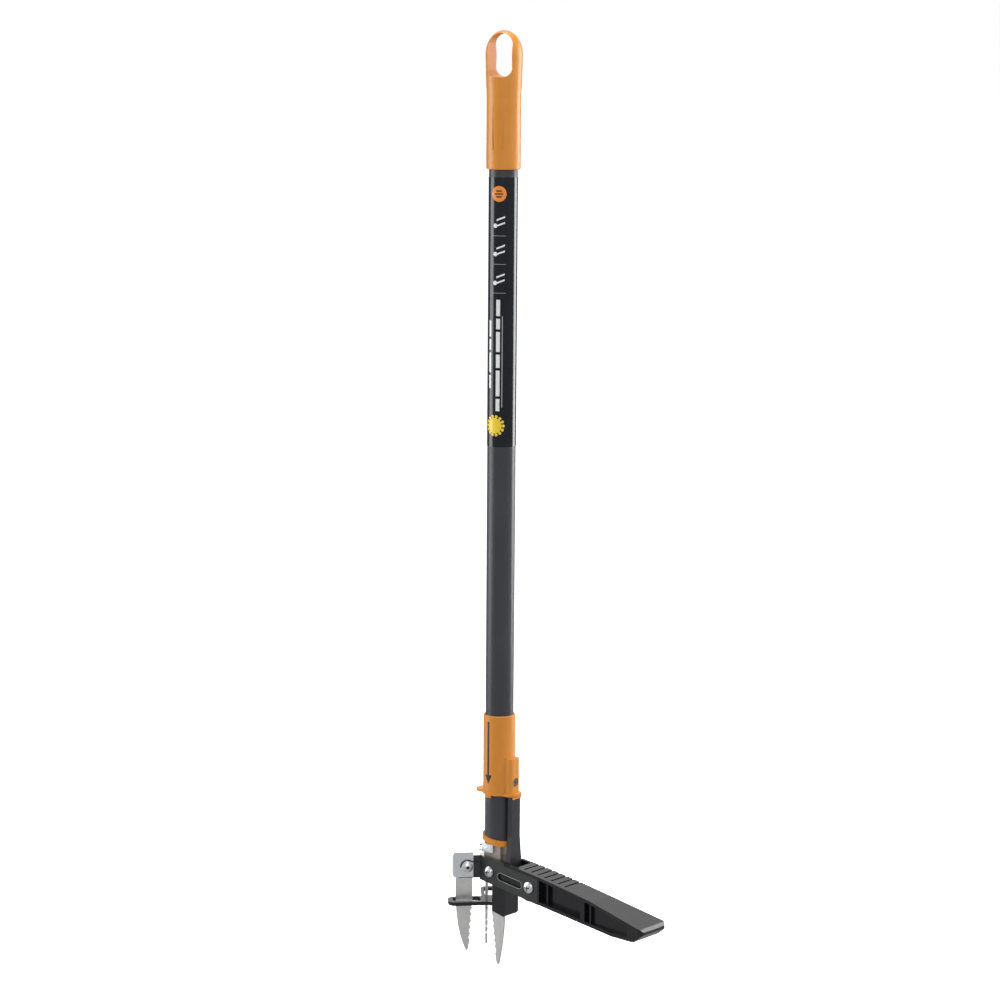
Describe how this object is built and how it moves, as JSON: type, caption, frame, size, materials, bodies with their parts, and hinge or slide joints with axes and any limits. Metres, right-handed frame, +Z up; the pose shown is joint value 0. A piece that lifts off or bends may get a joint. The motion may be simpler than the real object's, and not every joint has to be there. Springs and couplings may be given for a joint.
{
  "type": "stand up weeder",
  "caption": "Long-handled weed puller: tube with hanging loop, hinged foot lever with swinging serrated claws, fixed claw and a sliding ejector.",
  "frame": {"origin": "tip of the fixed claw, on the tube's axis", "axes": "+Z up the tube, +X along the foot lever, +Y to the right claw's side"},
  "size_m": [0.2574, 0.0804, 1],
  "materials": {
    "orange_plastic": "satin moulded",
    "tube_coating": "dark grey satin powder coat",
    "label_film": "gloss film",
    "black_plastic": "satin moulded",
    "black_steel": "black satin paint",
    "head_casting": "as cast",
    "spring_steel": "oiled black",
    "claw_steel": "ground stainless steel",
    "zinc_steel": "bright zinc plate"
  },
  "bodies": {
    "shaft": {"shaft_tube": "tube_coating", "shaft_label": "label_film", "handle_grip": "orange_plastic", "tube_top_plug": "black_plastic", "tube_collar": "orange_plastic", "head_fork": "head_casting", "head_pin": "zinc_steel", "head_bolt": "zinc_steel", "head_bracket": "zinc_steel", "fixed_claw": "claw_steel", "fixed_claw_rivets": "zinc_steel", "pivot_bolt": "zinc_steel", "pivot_nut": "zinc_steel", "pivot_spacers": "zinc_steel"},
    "pedal": {"left_side_plate": "black_steel", "right_side_plate": "black_steel", "pedal_moulding": "black_plastic", "pedal_screw": "zinc_steel", "pedal_nut": "zinc_steel", "left_claw_screw": "zinc_steel", "right_claw_screw": "zinc_steel", "left_claw_nut": "zinc_steel", "right_claw_nut": "zinc_steel", "left_claw_spring": "spring_steel", "right_claw_spring": "spring_steel"},
    "left_claw": {"left_claw_bracket": "zinc_steel", "left_claw_blade": "claw_steel", "left_claw_rivets": "zinc_steel"},
    "right_claw": {"right_claw_bracket": "zinc_steel", "right_claw_blade": "claw_steel", "right_claw_rivets": "zinc_steel"},
    "ejector": {"eject_sleeve": "orange_plastic", "eject_bar": "black_steel", "eject_screw": "zinc_steel", "eject_nut": "zinc_steel", "ejector_foot": "black_plastic", "foot_screw": "zinc_steel", "foot_nut": "zinc_steel"}
  },
  "joints": [
    {"name": "pedal_tilt", "type": "hinge", "parent": "shaft", "child": "pedal", "pos_m": [0, 0, 0.106], "axis": [0, -1, 0], "range_deg": [0, 10]},
    {"name": "left_claw_splay", "type": "hinge", "parent": "pedal", "child": "left_claw", "pos_m": [-0.031, -0.01726, 0.1096], "axis": [-0.7314, 0.682, 0], "range_deg": [0, 3], "stiffness_Nm_per_rad": 0.8, "springref_deg": -6.88},
    {"name": "right_claw_splay", "type": "hinge", "parent": "pedal", "child": "right_claw", "pos_m": [-0.031, 0.01726, 0.1096], "axis": [0.7314, 0.682, 0], "range_deg": [0, 3], "stiffness_Nm_per_rad": 0.8, "springref_deg": -6.88},
    {"name": "eject_slide", "type": "slide", "parent": "shaft", "child": "ejector", "axis": [0, 0, -1], "range_m": [0, 0.03]}
  ]
}
